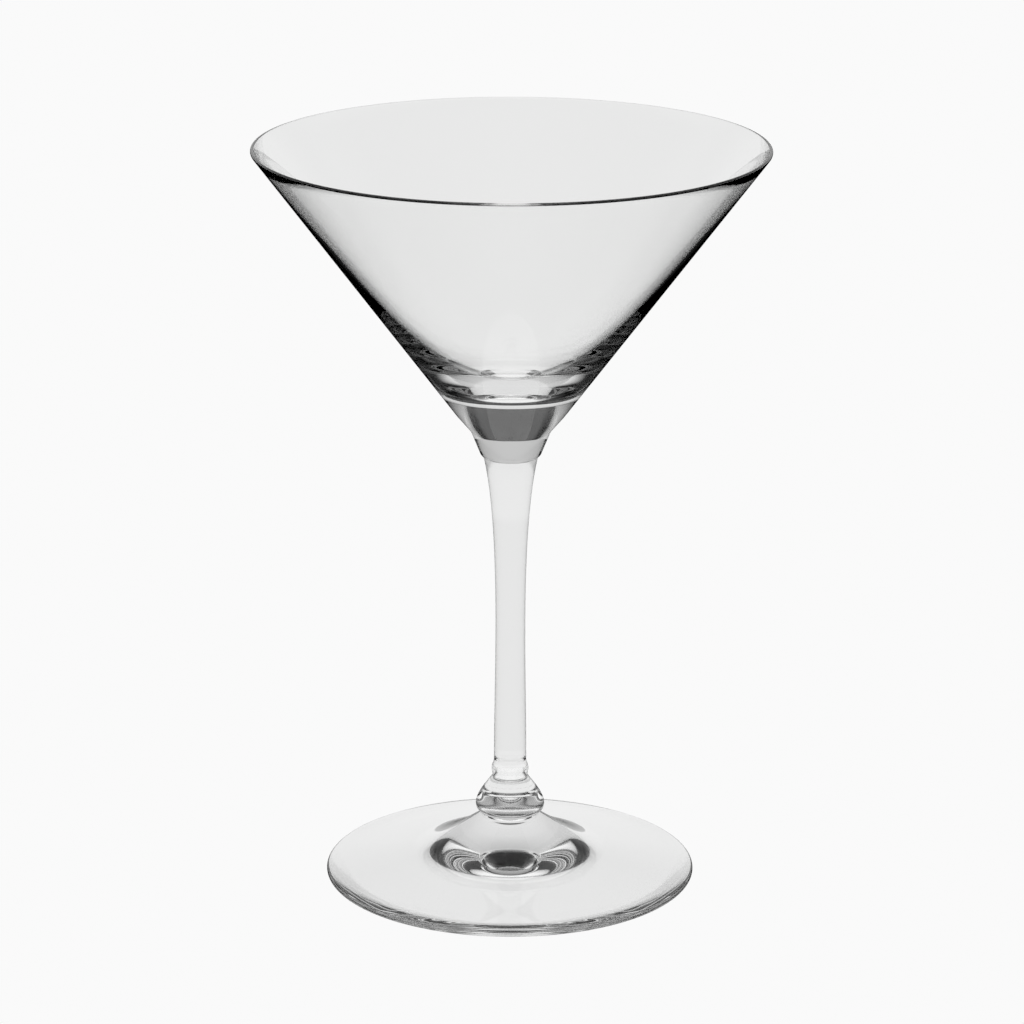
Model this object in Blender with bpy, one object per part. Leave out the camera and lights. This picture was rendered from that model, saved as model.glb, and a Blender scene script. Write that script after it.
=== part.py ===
"""A stemmed cocktail glass: bowl, stem, button and foot, each turned about the Z axis.

Run with: blender --background --python part.py
Units are metres and +Z is up. The origin is the centre of the face that the glass stands on.
The real pieces are fused hot, so each joint here is a low crown seated in a shallow dimple.
"""

import math

import bmesh
import bpy
from mathutils.geometry import interpolate_bezier

MM = 0.001


def mm(radius, z):
    """A point (r, z) given in millimetres."""
    return (radius * MM, z * MM)


# Driving dimensions.
HEIGHT = 171.5 * MM
RIM_RADIUS = 58.0 * MM
FOOT_RADIUS = 42.7 * MM
FUSED_GAP = 0.3 * MM

# Bowl: a straight cone outside, down to two creases above the stem. Its wall thickens from the
# rim to a solid base under a nearly flat cavity floor.
RIM_WALL = 0.85 * MM
CONE_BASE = mm(12.35, 110.0)
THROAT_CREASE = mm(9.1, 106.2)
COLLAR_CREASE = mm(6.85, 100.6)
CREASE_LENGTH = 0.5 * MM
BOWL_JOINT = mm(6.2, 100.0)
CAVITY_FLOOR = mm(0.0, 117.6)
CAVITY_FLOOR_HANDLE = mm(14.8, 117.6)
CAVITY_WALL_LEAN = 0.75
CAVITY_WALL_LEAD = 70.0 * MM

# Stem: thin in the middle, flared up into the bowl, with a bead where it meets the button.
STEM_TOP_RADIUS = 6.1 * MM
STEM_WAIST = mm(3.4, 60.0)
STEM_BASE = mm(3.72, 27.4)
STEM_BEAD = mm(4.25, 24.7)
STEM_JOINT = mm(4.0, 23.2)
FLARE_HANDLES = (mm(4.5, 93.0), mm(3.4, 80.0))
SHANK_HANDLES = (mm(3.4, 48.0), mm(3.72, 37.4))
BEAD_HANDLES = (mm(3.72, 26.2), mm(4.25, 25.9))

# Button: the knop between stem and foot. Its upper flank is conical and its edge is round.
BUTTON_NECK = mm(3.95, 23.2)
BUTTON_SHOULDER = mm(7.95, 16.2)
BUTTON_HANDLES = (mm(4.75, 21.9), mm(7.95, 18.5))
BUTTON_EDGE_RADIUS = 1.9 * MM
BUTTON_UNDERCUT = -86
BUTTON_JOINT = mm(6.4, 13.9)

# Foot: a hub that flows into a shallow disc, hollowed underneath inside a flat resting ring.
HUB_HANDLE = mm(12.7, 9.4)
HUB_BASE = mm(22.8, 5.0)
HUB_LEAD = 5.0 * MM
EDGE_THICKNESS = 1.4 * MM
RESTING_RING_INNER = mm(37.8, 0.0)
HOLLOW_TOP = mm(0.0, 4.3)
HOLLOW_HANDLES = (mm(24.3, 1.7), mm(12.8, 4.3))

CROWN_HEIGHT = 0.8 * MM
CROWN_POINTS = 4
TURN_STEPS = 64


def arc(centre, radius, start, end, count):
    """Points on a circle in (r, z), from one angle to another, in degrees from +r towards +z."""
    angles = [math.radians(start + (end - start) * i / (count - 1)) for i in range(count)]
    return [(centre[0] + radius * math.cos(a), centre[1] + radius * math.sin(a)) for a in angles]


def curve(start, start_handle, end_handle, end, count):
    """Points on a Bezier curve in (r, z), both ends included."""
    points = interpolate_bezier(start, start_handle, end_handle, end, count)
    return [(point[0], point[1]) for point in points]


def along(start, end, distance):
    """The point at a distance from start, towards end."""
    share = distance / math.dist(start, end)
    return (start[0] + (end[0] - start[0]) * share, start[1] + (end[1] - start[1]) * share)


def crease(before, corner, after):
    """The soft corner between two straight runs."""
    start = along(corner, before, CREASE_LENGTH)
    end = along(corner, after, CREASE_LENGTH)
    return curve(start, corner, corner, end, 4)


def crown(radius, z):
    """A low dome from the axis out to (radius, z)."""
    steps = [i / CROWN_POINTS for i in range(CROWN_POINTS + 1)]
    return [(radius * t, z + CROWN_HEIGHT * (1 - t * t)) for t in steps]


def dimple(joint):
    """The hollow that takes the crown of the piece below, from its mouth in to the axis."""
    radius, z = joint
    return crown(radius, z + FUSED_GAP)[::-1]


def bowl_outline():
    """From the cavity floor up the inside, over the round rim, down the outside, to the dimple."""
    bead = RIM_WALL / 2
    rim_centre = (RIM_RADIUS - bead, HEIGHT - bead)
    across = rim_centre[0] - CONE_BASE[0]
    rise = rim_centre[1] - CONE_BASE[1]
    outer = math.atan2(rise, across) - math.acos(-bead / math.hypot(across, rise))
    inner = math.pi - math.atan(CAVITY_WALL_LEAN)
    rim = arc(rim_centre, bead, math.degrees(inner), math.degrees(outer), 9)
    wall_top = rim[0]
    wall_handle = (
        wall_top[0] - CAVITY_WALL_LEAD * math.sin(inner),
        wall_top[1] + CAVITY_WALL_LEAD * math.cos(inner),
    )
    inside = curve(CAVITY_FLOOR, CAVITY_FLOOR_HANDLE, wall_handle, wall_top, 18)
    throat = crease(CONE_BASE, THROAT_CREASE, COLLAR_CREASE)
    collar = crease(THROAT_CREASE, COLLAR_CREASE, BOWL_JOINT)
    return inside + rim[1:] + [CONE_BASE] + throat + collar + dimple(BOWL_JOINT)


def stem_outline():
    """From the crown in the bowl, down the flare, the shank and the bead, to the dimple."""
    top = (STEM_TOP_RADIUS, BOWL_JOINT[1])
    flare = curve(top, *FLARE_HANDLES, STEM_WAIST, 9)
    shank = curve(STEM_WAIST, *SHANK_HANDLES, STEM_BASE, 5)
    bead = curve(STEM_BASE, *BEAD_HANDLES, STEM_BEAD, 5)
    return crown(*top) + flare[1:] + shank[1:] + bead[1:] + dimple(STEM_JOINT)


def button_outline():
    """From the crown in the stem, down the flank and round the edge, to the dimple."""
    flank = curve(BUTTON_NECK, *BUTTON_HANDLES, BUTTON_SHOULDER, 8)
    edge_centre = (BUTTON_SHOULDER[0] - BUTTON_EDGE_RADIUS, BUTTON_SHOULDER[1])
    edge = arc(edge_centre, BUTTON_EDGE_RADIUS, 0, BUTTON_UNDERCUT, 6)
    return crown(*BUTTON_NECK) + flank[1:] + edge[1:] + dimple(BUTTON_JOINT)


def foot_outline():
    """From the crown in the button, down the hub, out over the disc, and in under the hollow."""
    edge_radius = EDGE_THICKNESS / 2
    edge_centre = (FOOT_RADIUS - edge_radius, edge_radius)
    disc_top = (edge_centre[0], EDGE_THICKNESS)
    hub_end = along(HUB_BASE, disc_top, -HUB_LEAD)
    hub = curve(BUTTON_JOINT, HUB_HANDLE, hub_end, HUB_BASE, 9)
    fall = math.degrees(math.atan2(HUB_BASE[1] - disc_top[1], disc_top[0] - HUB_BASE[0]))
    edge = arc(edge_centre, edge_radius, 90 - fall, -90, 8)
    hollow = curve(RESTING_RING_INNER, *HOLLOW_HANDLES, HOLLOW_TOP, 9)
    return crown(*BUTTON_JOINT) + hub[1:] + edge + hollow


def glass_material(name, colour):
    material = bpy.data.materials.new(name)
    material.use_nodes = True
    shader = material.node_tree.nodes["Principled BSDF"]
    shader.inputs["Base Color"].default_value = (*colour, 1.0)
    shader.inputs["Roughness"].default_value = 0.02
    shader.inputs["Metallic"].default_value = 0.0
    shader.inputs["IOR"].default_value = 1.5
    shader.inputs["Transmission Weight"].default_value = 1.0
    material.diffuse_color = (*colour, 0.4)
    return material


def turned(name, outline, colour):
    """One closed piece, its outline turned about the Z axis, with its corners left sharp."""
    turning = bmesh.new()
    points = [turning.verts.new((radius, 0.0, z)) for radius, z in outline]
    for start, end in zip(points, points[1:]):
        turning.edges.new((start, end))
    bmesh.ops.spin(
        turning,
        geom=turning.verts[:] + turning.edges[:],
        cent=(0.0, 0.0, 0.0),
        axis=(0.0, 0.0, 1.0),
        angle=math.tau,
        steps=TURN_STEPS,
        use_merge=True,
    )
    bmesh.ops.remove_doubles(turning, verts=turning.verts[:], dist=0.001 * MM)
    bmesh.ops.recalc_face_normals(turning, faces=turning.faces[:])
    mesh = bpy.data.meshes.new(name)
    turning.to_mesh(mesh)
    turning.free()
    mesh.shade_smooth()
    mesh.set_sharp_from_angle(angle=math.radians(35))
    mesh.materials.append(glass_material(name + "_glass", colour))
    piece = bpy.data.objects.new(name, mesh)
    bpy.context.scene.collection.objects.link(piece)
    return piece


def clear_scene():
    for leftover in list(bpy.data.objects):
        bpy.data.objects.remove(leftover, do_unlink=True)


clear_scene()
turned("bowl", bowl_outline(), (0.95, 0.96, 0.95))
turned("stem", stem_outline(), (0.95, 0.96, 0.95))
turned("button", button_outline(), (0.93, 0.94, 0.93))
turned("foot", foot_outline(), (0.94, 0.95, 0.94))
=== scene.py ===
"""Looks for a stemmed cocktail glass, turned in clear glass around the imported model.

The real glass is fused hot from four pieces: bowl, stem, button and foot. Each piece here is a
closed turned body. Neighbours share the surface of their joint, and light passes straight through.
"""
import math

import bmesh
import bpy
from mathutils import Matrix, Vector
from mathutils.geometry import interpolate_bezier


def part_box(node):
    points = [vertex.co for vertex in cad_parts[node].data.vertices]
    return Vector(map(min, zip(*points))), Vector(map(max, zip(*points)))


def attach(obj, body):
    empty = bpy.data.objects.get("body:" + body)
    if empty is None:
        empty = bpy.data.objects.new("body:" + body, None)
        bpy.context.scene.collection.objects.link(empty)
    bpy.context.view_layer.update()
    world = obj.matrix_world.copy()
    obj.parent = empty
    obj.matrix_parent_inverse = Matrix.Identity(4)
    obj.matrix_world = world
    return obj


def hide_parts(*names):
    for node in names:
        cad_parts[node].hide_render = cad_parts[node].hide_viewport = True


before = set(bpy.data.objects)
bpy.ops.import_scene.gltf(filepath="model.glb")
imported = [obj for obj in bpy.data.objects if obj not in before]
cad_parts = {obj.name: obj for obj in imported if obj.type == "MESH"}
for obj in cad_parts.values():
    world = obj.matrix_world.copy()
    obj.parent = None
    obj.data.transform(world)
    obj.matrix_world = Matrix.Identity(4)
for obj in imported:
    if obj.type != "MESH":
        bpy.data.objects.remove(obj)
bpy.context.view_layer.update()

MM = 0.001


def mm(radius, z):
    """A point (r, z) given in millimetres."""
    return (radius * MM, z * MM)


# Driving dimensions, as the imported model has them.
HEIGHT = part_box("bowl")[1][2]
RIM_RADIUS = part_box("bowl")[1][0]
FOOT_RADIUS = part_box("foot")[1][0]

# Bowl: a straight cone outside, down to two creases above the stem. Its wall thickens from the
# rim to a solid base under a nearly flat cavity floor.
RIM_WALL = 0.85 * MM
CONE_BASE = mm(12.35, 110.0)
THROAT_CREASE = mm(9.1, 106.2)
COLLAR_CREASE = mm(6.85, 100.6)
CREASE_LENGTH = 0.5 * MM
BOWL_JOINT = mm(6.2, 100.0)
CAVITY_FLOOR = mm(0.0, 117.6)
CAVITY_FLOOR_HANDLE = mm(14.8, 117.6)
CAVITY_WALL_LEAN = 0.75
CAVITY_WALL_LEAD = 70.0 * MM

# Stem: thin in the middle, flared up into the bowl, with a bead where it meets the button.
STEM_WAIST = mm(3.4, 60.0)
STEM_BASE = mm(3.72, 27.4)
STEM_BEAD = mm(4.25, 24.7)
STEM_JOINT = mm(4.0, 23.2)
FLARE_HANDLES = (mm(4.5, 93.0), mm(3.4, 80.0))
SHANK_HANDLES = (mm(3.4, 48.0), mm(3.72, 37.4))
BEAD_HANDLES = (mm(3.72, 26.2), mm(4.25, 25.9))

# Button: the knop between stem and foot. Its upper flank is conical and its edge is round.
BUTTON_SHOULDER = mm(7.95, 16.2)
BUTTON_HANDLES = (mm(4.8, 21.9), mm(7.95, 18.5))
BUTTON_EDGE_RADIUS = 1.9 * MM
BUTTON_UNDERCUT = -86
BUTTON_JOINT = mm(6.4, 13.9)

# Foot: a hub that flows into a shallow disc, hollowed underneath inside a flat resting ring.
HUB_HANDLE = mm(12.7, 9.4)
HUB_BASE = mm(22.8, 5.0)
HUB_LEAD = 5.0 * MM
EDGE_THICKNESS = 1.4 * MM
RESTING_RING_INNER = mm(37.8, 0.0)
HOLLOW_TOP = mm(0.0, 4.3)
HOLLOW_HANDLES = (mm(24.3, 1.7), mm(12.8, 4.3))

CROWN_HEIGHT = 0.8 * MM
TURN_STEPS = 256
SHARP_FROM = 35

# Camera and backdrop.
CAMERA_PLACE = (0.3 * MM, -906.9 * MM, 360.3 * MM)
CAMERA_DIP = 16.782
CAMERA_ROLL = 0.15
CAMERA_LENS = 146.1
PALE = 0.955
FLOOR_SIZE = 8.0
FLOOR_DROP = 0.05 * MM

# Studio light. To the camera there is one plain pale floor and backdrop. The glass is lit by a room
# that is the same all round. Each list gives its level at heights above the horizon, in degrees.
# There is one list for light that bounces off the outside of the glass, and one for each number of
# times that light has turned back inside it. The dark stretches draw the dark lines in the glass.
REFLECTED = (
    (-90, 0.60), (-60, 0.30), (-50, 0.0), (-1, 0.0), (0, 0.90), (14, 0.80), (26, 0.45), (90, 0.45),
)
SEEN_THROUGH = ((-90, 0.87), (-1, 0.87), (1, 0.60), (32, 0.50), (45, 0.30), (90, 0.10))
TURNED_ONCE = (
    (-90, 0.95), (-45, 0.90), (-30, 0.03), (-1, 0.03), (1, 0.80), (18, 0.74),
    (25, 0.64), (32, 0.52), (42, 0.10), (50, 0.0), (56, 0.0), (62, 0.07), (90, 0.09),
)
TURNED_TWICE = ((-90, 0.75), (-1, 0.75), (1, 0.60), (16, 0.40), (24, 0.30), (90, 0.10))
TURNED_OFTEN = (
    (-90, 1.10), (-40, 1.0), (-22, 0.75), (-10, 0.35), (0, 0.03), (12, 0.0), (90, 0.04),
)
TURNED_ON_AND_ON = (
    (-90, 0.80), (-30, 0.70), (-16, 0.12), (-2, 0.0), (38, 0.0), (50, 0.35), (90, 0.40),
)
ON_AND_ON_FROM = 5.5
LIGHT_BOUNCES = 32


def arc(centre, radius, start, end, count):
    """Points on a circle in (r, z), from one angle to another, in degrees from +r towards +z."""
    angles = [math.radians(start + (end - start) * i / (count - 1)) for i in range(count)]
    return [(centre[0] + radius * math.cos(a), centre[1] + radius * math.sin(a)) for a in angles]


def curve(start, start_handle, end_handle, end, count):
    """Points on a Bezier curve in (r, z), both ends included."""
    points = interpolate_bezier(start, start_handle, end_handle, end, count)
    return [(point[0], point[1]) for point in points]


def between(start, end, share):
    """The point that lies the given share of the way from start to end."""
    return (start[0] + (end[0] - start[0]) * share, start[1] + (end[1] - start[1]) * share)


def along(start, end, distance):
    """The point at a distance from start, towards end."""
    return between(start, end, distance / math.dist(start, end))


def straight(start, end, count):
    """Evenly spaced points on a straight run in (r, z), both ends included."""
    return [between(start, end, i / (count - 1)) for i in range(count)]


def crease(before, corner, after):
    """The soft corner between two straight runs."""
    start = along(corner, before, CREASE_LENGTH)
    end = along(corner, after, CREASE_LENGTH)
    pull = 0.6
    return curve(start, between(start, corner, pull), between(end, corner, pull), end, 7)


def crown(joint, count=9):
    """The domed surface of a fused joint, from the axis out to the joint's edge."""
    radius, z = joint
    steps = [i / (count - 1) for i in range(count)]
    return [(radius * t, z + CROWN_HEIGHT * (1 - t * t)) for t in steps]


def bowl_outline():
    """From the cavity floor up the inside, over the round rim, and down the outside to the joint."""
    bead = RIM_WALL / 2
    rim_centre = (RIM_RADIUS - bead, HEIGHT - bead)
    across = rim_centre[0] - CONE_BASE[0]
    rise = rim_centre[1] - CONE_BASE[1]
    outer = math.atan2(rise, across) - math.acos(-bead / math.hypot(across, rise))
    inner = math.pi - math.atan(CAVITY_WALL_LEAN)
    rim = arc(rim_centre, bead, math.degrees(inner), math.degrees(outer), 17)
    wall_top = rim[0]
    wall_handle = (
        wall_top[0] - CAVITY_WALL_LEAD * math.sin(inner),
        wall_top[1] + CAVITY_WALL_LEAD * math.cos(inner),
    )
    inside = curve(CAVITY_FLOOR, CAVITY_FLOOR_HANDLE, wall_handle, wall_top, 72)
    outside = straight(rim[-1], CONE_BASE, 24)
    throat = crease(CONE_BASE, THROAT_CREASE, COLLAR_CREASE)
    collar = crease(THROAT_CREASE, COLLAR_CREASE, BOWL_JOINT)
    return inside + rim[1:] + outside[1:] + throat + collar + [BOWL_JOINT]


def stem_outline():
    """Down the outside of the stem, from the bowl to the button."""
    flare = curve(BOWL_JOINT, *FLARE_HANDLES, STEM_WAIST, 33)
    shank = curve(STEM_WAIST, *SHANK_HANDLES, STEM_BASE, 17)
    bead = curve(STEM_BASE, *BEAD_HANDLES, STEM_BEAD, 13)
    return flare + shank[1:] + bead[1:] + [STEM_JOINT]


def button_outline():
    """Down the button's flank and round its edge to the foot."""
    flank = curve(STEM_JOINT, *BUTTON_HANDLES, BUTTON_SHOULDER, 25)
    edge_centre = (BUTTON_SHOULDER[0] - BUTTON_EDGE_RADIUS, BUTTON_SHOULDER[1])
    edge = arc(edge_centre, BUTTON_EDGE_RADIUS, 0, BUTTON_UNDERCUT, 17)
    return flank + edge[1:] + [BUTTON_JOINT]


def foot_outline():
    """Down the hub, out over the disc, round its edge and in under the hollow to the axis."""
    edge_radius = EDGE_THICKNESS / 2
    edge_centre = (FOOT_RADIUS - edge_radius, edge_radius)
    disc_top = (edge_centre[0], EDGE_THICKNESS)
    hub = curve(BUTTON_JOINT, HUB_HANDLE, along(HUB_BASE, disc_top, -HUB_LEAD), HUB_BASE, 41)
    fall = math.degrees(math.atan2(HUB_BASE[1] - disc_top[1], disc_top[0] - HUB_BASE[0]))
    edge = arc(edge_centre, edge_radius, 90 - fall, -90, 17)
    disc = straight(HUB_BASE, edge[0], 17)
    hollow = curve(RESTING_RING_INNER, *HOLLOW_HANDLES, HOLLOW_TOP, 41)
    return hub + disc[1:] + edge[1:] + hollow


def glass_material(name, tint, ripple_size, ripple_height):
    """Clear fire-polished glass: a faint tint, a slow ripple and a trace of handling on its polish."""
    material = bpy.data.materials.new(name)
    material.use_nodes = True
    nodes = material.node_tree.nodes
    link = material.node_tree.links.new
    shader = nodes["Principled BSDF"]
    shader.inputs["Base Color"].default_value = (*tint, 1.0)
    shader.inputs["IOR"].default_value = 1.5
    shader.inputs["Transmission Weight"].default_value = 1.0

    place = nodes.new("ShaderNodeTexCoord")
    ripple = nodes.new("ShaderNodeTexNoise")
    ripple.inputs["Scale"].default_value = 1.0 / ripple_size
    ripple.inputs["Detail"].default_value = 1.0
    bump = nodes.new("ShaderNodeBump")
    bump.inputs["Strength"].default_value = 1.0
    bump.inputs["Distance"].default_value = ripple_height
    link(place.outputs["Object"], ripple.inputs["Vector"])
    link(ripple.outputs["Fac"], bump.inputs["Height"])
    link(bump.outputs["Normal"], shader.inputs["Normal"])

    handling = nodes.new("ShaderNodeTexNoise")
    handling.inputs["Scale"].default_value = 1.0 / (14.0 * MM)
    handling.inputs["Detail"].default_value = 4.0
    polish = nodes.new("ShaderNodeMapRange")
    polish.inputs["From Min"].default_value = 0.55
    polish.inputs["From Max"].default_value = 0.80
    polish.inputs["To Min"].default_value = 0.0
    polish.inputs["To Max"].default_value = 0.035
    link(place.outputs["Object"], handling.inputs["Vector"])
    link(handling.outputs["Fac"], polish.inputs["Value"])
    link(polish.outputs["Result"], shader.inputs["Roughness"])
    return material


def joint_material():
    """A fused joint: the same glass on both sides, so nothing shows."""
    material = bpy.data.materials.new("fused_joint")
    material.use_nodes = True
    nodes = material.node_tree.nodes
    nodes.remove(nodes["Principled BSDF"])
    clear = nodes.new("ShaderNodeBsdfTransparent")
    material.node_tree.links.new(clear.outputs["BSDF"], nodes["Material Output"].inputs["Surface"])
    return material


def ring(mesh, radius, z):
    """One ring of points about the axis, or a single point on it."""
    if radius < 0.001 * MM:
        return [mesh.verts.new((0.0, 0.0, z))]
    turns = [math.tau * i / TURN_STEPS for i in range(TURN_STEPS)]
    return [mesh.verts.new((radius * math.cos(t), radius * math.sin(t), z)) for t in turns]


def band(mesh, lower, upper, slot):
    """The faces between two neighbouring rings, either of which may be a single point."""
    for i in range(TURN_STEPS):
        j = (i + 1) % TURN_STEPS
        below = [lower[i % len(lower)], lower[j % len(lower)]]
        above = [upper[j % len(upper)], upper[i % len(upper)]]
        face = mesh.faces.new(list(dict.fromkeys(below + above)))
        face.material_index = slot
        face.smooth = True


def turned(name, node, glass, skin, joint_above=None, joint_below=None):
    """One closed piece: its glass skin, and the surface of each joint that it shares.

    The skin takes the first material and the joints take the second.
    """
    stretches = [(skin, 0)]
    if joint_above:
        stretches.insert(0, (crown(joint_above), 1))
    if joint_below:
        stretches.append((crown(joint_below)[::-1], 1))
    mesh = bmesh.new()
    last = None  # the ring where the stretch before ended
    for points, slot in stretches:
        rings = [ring(mesh, *point) for point in (points[1:] if last else points)]
        if last:
            rings.insert(0, last)
        for upper, lower in zip(rings, rings[1:]):
            band(mesh, lower, upper, slot)
        last = rings[-1]
    bmesh.ops.recalc_face_normals(mesh, faces=mesh.faces[:])
    data = bpy.data.meshes.new(name)
    mesh.to_mesh(data)
    mesh.free()
    data.set_sharp_from_angle(angle=math.radians(SHARP_FROM))
    data.materials.append(glass)
    data.materials.append(fused)
    piece = bpy.data.objects.new(name, data)
    bpy.context.scene.collection.objects.link(piece)
    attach(piece, "root")
    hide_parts(node)
    return piece


CLEAR = (0.985, 0.987, 0.985)
fused = joint_material()
blown = glass_material("blown_glass", CLEAR, 30 * MM, 0.02 * MM)
drawn = glass_material("drawn_glass", CLEAR, 20 * MM, 0.01 * MM)
pressed = glass_material("pressed_glass", CLEAR, 16 * MM, 0.01 * MM)
turned("bowl_glass", "bowl", blown, bowl_outline(), joint_below=BOWL_JOINT)
turned("stem_glass", "stem", drawn, stem_outline(), joint_above=BOWL_JOINT, joint_below=STEM_JOINT)
turned("button_glass", "button", pressed, button_outline(), joint_above=STEM_JOINT, joint_below=BUTTON_JOINT)
turned("foot_glass", "foot", pressed, foot_outline(), joint_above=BUTTON_JOINT)

class Graph:
    """Short ways to add the nodes of one material or world."""

    def __init__(self, tree):
        self.nodes = tree.nodes
        self.link = tree.links.new

    def fill(self, node, values):
        """Links each value that is a socket, and sets the others."""
        for socket, value in values.items():
            if isinstance(value, bpy.types.NodeSocket):
                self.link(value, node.inputs[socket])
            else:
                node.inputs[socket].default_value = value

    def math(self, operation, first, second=0.0):
        """One math step on two numbers or sockets."""
        node = self.nodes.new("ShaderNodeMath")
        node.operation = operation
        self.fill(node, {0: first, 1: second})
        return node.outputs[0]

    def mix(self, low, high, factor):
        """Low where the factor is 0 and high where it is 1."""
        node = self.nodes.new("ShaderNodeMix")
        self.fill(node, {"A": low, "B": high, "Factor": factor})
        return node.outputs["Result"]

    def turns(self, path, count):
        """1 for light that glass has let through and turned back inside itself so many times."""
        same = self.math("COMPARE", path["Glossy Depth"], float(count))
        same.node.inputs[2].default_value = 0.5
        return self.math("MULTIPLY", same, path["Is Transmission Ray"])

    def ramp(self, share, levels):
        """The level at a height, from a list of (degrees, level). The share goes from 0 to 1."""
        node = self.nodes.new("ShaderNodeValToRGB")
        stops = node.color_ramp.elements
        for _ in levels[1:-1]:
            stops.new(0.5)
        for stop, (degrees, level) in zip(stops, levels):
            stop.position = (degrees + 90) / 180
            stop.color = (level, level, level, 1.0)
        self.link(share, node.inputs["Fac"])
        return node.outputs["Color"]


def floor():
    """A pale sheet that only the camera sees. The glass takes its light from the studio alone."""
    half = FLOOR_SIZE / 2
    data = bpy.data.meshes.new("floor")
    corners = [(-half, -half, 0.0), (half, -half, 0.0), (half, half, 0.0), (-half, half, 0.0)]
    data.from_pydata(corners, [], [(0, 1, 2, 3)])
    material = bpy.data.materials.new("pale_floor")
    material.use_nodes = True
    graph = Graph(material.node_tree)
    graph.nodes.remove(graph.nodes["Principled BSDF"])
    light = graph.nodes.new("ShaderNodeEmission")
    light.inputs["Strength"].default_value = PALE
    graph.link(light.outputs["Emission"], graph.nodes["Material Output"].inputs["Surface"])
    data.materials.append(material)
    sheet = bpy.data.objects.new("floor", data)
    sheet.location.z = -FLOOR_DROP
    sheet.visible_glossy = False
    sheet.visible_transmission = False
    bpy.context.scene.collection.objects.link(sheet)


def studio():
    """The room round the glass, with its level picked by height and by what the light has done."""
    world = bpy.data.worlds.new("studio")
    world.use_nodes = True
    bpy.context.scene.world = world
    graph = Graph(world.node_tree)
    path = graph.nodes.new("ShaderNodeLightPath").outputs
    place = graph.nodes.new("ShaderNodeTexCoord").outputs["Generated"]
    parts = graph.nodes.new("ShaderNodeSeparateXYZ")
    graph.link(place, parts.inputs["Vector"])
    height = graph.math("ARCSINE", parts.outputs["Z"])
    share = graph.math("ADD", graph.math("DIVIDE", height, math.pi), 0.5)
    many = graph.math("GREATER_THAN", path["Glossy Depth"], ON_AND_ON_FROM)
    level = graph.mix(graph.ramp(share, TURNED_OFTEN), graph.ramp(share, TURNED_ON_AND_ON), many)
    for count, levels in enumerate((SEEN_THROUGH, TURNED_ONCE, TURNED_TWICE)):
        level = graph.mix(level, graph.ramp(share, levels), graph.turns(path, count))
    level = graph.mix(graph.ramp(share, REFLECTED), level, path["Is Transmission Ray"])
    level = graph.mix(level, PALE, path["Is Camera Ray"])
    background = graph.nodes["Background"]
    background.inputs["Color"].default_value = (1.0, 1.0, 1.0, 1.0)
    graph.link(level, background.inputs["Strength"])


def camera():
    data = bpy.data.cameras.new("camera")
    data.sensor_width = 36.0
    data.lens = CAMERA_LENS
    data.clip_end = 100.0
    view = bpy.data.objects.new("camera", data)
    view.location = CAMERA_PLACE
    tilt = Matrix.Rotation(math.radians(90 - CAMERA_DIP), 4, "X")
    roll = Matrix.Rotation(math.radians(CAMERA_ROLL), 4, "Z")
    view.rotation_euler = (tilt @ roll).to_euler()
    bpy.context.scene.collection.objects.link(view)
    bpy.context.scene.camera = view


floor()
studio()
camera()
scene = bpy.context.scene
scene.view_settings.view_transform = "Standard"
scene.cycles.max_bounces = LIGHT_BOUNCES
scene.cycles.transmission_bounces = LIGHT_BOUNCES
scene.cycles.transparent_max_bounces = LIGHT_BOUNCES
scene.cycles.glossy_bounces = LIGHT_BOUNCES
